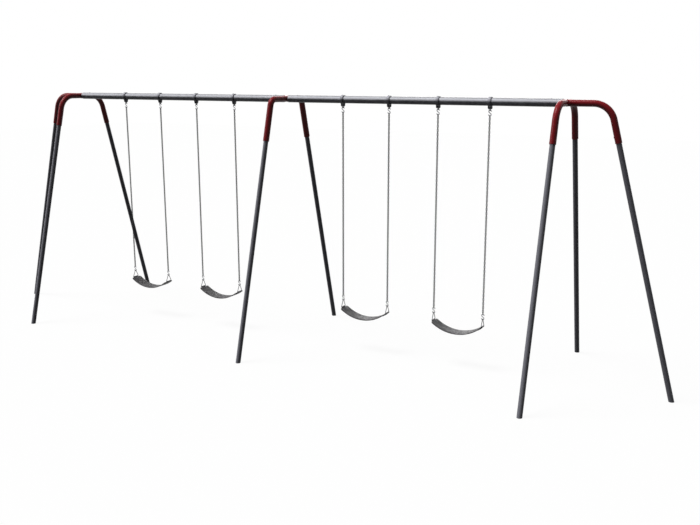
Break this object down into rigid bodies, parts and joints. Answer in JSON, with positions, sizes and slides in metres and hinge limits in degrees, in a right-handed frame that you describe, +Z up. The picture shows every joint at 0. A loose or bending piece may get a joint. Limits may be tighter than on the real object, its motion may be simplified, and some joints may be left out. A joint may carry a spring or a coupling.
{
  "type": "swing set",
  "caption": "Free-standing swing set: red bent yokes join galvanised legs to the top rails, and rubber belt seats hang on chains from pivoting hangers.",
  "frame": {"origin": "on the ground under the middle of the top rail", "axes": "+X along the top rails, +Y to the back, +Z up"},
  "size_m": [9.833, 2.483, 3.2223],
  "materials": {
    "rail": "galvanised steel pipe, satin",
    "leg": "galvanised steel pipe, satin",
    "yoke": "gloss deep red powder coat",
    "hanger": "dark galvanised casting",
    "zinc": "bright zinc plated wire",
    "chain": "dull galvanised chain",
    "belt": "black ribbed rubber"
  },
  "bodies": {
    "frame": {"top_rail_left": "rail", "top_rail_right": "rail", "end_yoke_left": "yoke", "end_yoke_right": "yoke", "centre_yoke": "yoke", "end_leg_left_front": "leg", "end_leg_left_back": "leg", "end_leg_left_outer": "leg", "end_leg_right_front": "leg", "end_leg_right_back": "leg", "end_leg_right_outer": "leg", "centre_leg_front": "leg", "centre_leg_back": "leg", "hanger_collar_left_1": "hanger", "hanger_collar_right_1": "hanger", "hanger_collar_left_2": "hanger", "hanger_collar_right_2": "hanger", "hanger_collar_left_3": "hanger", "hanger_collar_right_3": "hanger", "hanger_collar_left_4": "hanger", "hanger_collar_right_4": "hanger"},
    "swing_1": {"pendulum_left_1": "hanger", "upper_hook_left_1": "zinc", "chain_left_1": "chain", "pendulum_right_1": "hanger", "upper_hook_right_1": "zinc", "chain_right_1": "chain"},
    "seat_1": {"triangle_left_1": "chain", "triangle_right_1": "chain", "belt_seat_1": "belt"},
    "swing_2": {"pendulum_left_2": "hanger", "upper_hook_left_2": "zinc", "chain_left_2": "chain", "pendulum_right_2": "hanger", "upper_hook_right_2": "zinc", "chain_right_2": "chain"},
    "seat_2": {"triangle_left_2": "chain", "triangle_right_2": "chain", "belt_seat_2": "belt"},
    "swing_3": {"pendulum_left_3": "hanger", "upper_hook_left_3": "zinc", "chain_left_3": "chain", "pendulum_right_3": "hanger", "upper_hook_right_3": "zinc", "chain_right_3": "chain"},
    "seat_3": {"triangle_left_3": "chain", "triangle_right_3": "chain", "belt_seat_3": "belt"},
    "swing_4": {"pendulum_left_4": "hanger", "upper_hook_left_4": "zinc", "chain_left_4": "chain", "pendulum_right_4": "hanger", "upper_hook_right_4": "zinc", "chain_right_4": "chain"},
    "seat_4": {"triangle_left_4": "chain", "triangle_right_4": "chain", "belt_seat_4": "belt"}
  },
  "joints": [
    {"name": "swing_1_pivot", "type": "hinge", "parent": "frame", "child": "swing_1", "pos_m": [-2.399, 0, 3.102], "axis": [1, 0, 0], "range_deg": [-60, 60]},
    {"name": "seat_1_hinge", "type": "hinge", "parent": "swing_1", "child": "seat_1", "pos_m": [-2.399, 0, 0.62033], "axis": [1, 0, 0], "range_deg": [-35, 35]},
    {"name": "swing_2_pivot", "type": "hinge", "parent": "frame", "child": "swing_2", "pos_m": [-1.1365, 0, 3.102], "axis": [1, 0, 0], "range_deg": [-60, 60]},
    {"name": "seat_2_hinge", "type": "hinge", "parent": "swing_2", "child": "seat_2", "pos_m": [-1.1365, 0, 0.62033], "axis": [1, 0, 0], "range_deg": [-35, 35]},
    {"name": "swing_3_pivot", "type": "hinge", "parent": "frame", "child": "swing_3", "pos_m": [1.1365, 0, 3.102], "axis": [1, 0, 0], "range_deg": [-60, 60]},
    {"name": "seat_3_hinge", "type": "hinge", "parent": "swing_3", "child": "seat_3", "pos_m": [1.1365, 0, 0.62033], "axis": [1, 0, 0], "range_deg": [-35, 35]},
    {"name": "swing_4_pivot", "type": "hinge", "parent": "frame", "child": "swing_4", "pos_m": [2.399, 0, 3.102], "axis": [1, 0, 0], "range_deg": [-60, 60]},
    {"name": "seat_4_hinge", "type": "hinge", "parent": "swing_4", "child": "seat_4", "pos_m": [2.399, 0, 0.62033], "axis": [1, 0, 0], "range_deg": [-35, 35]}
  ]
}
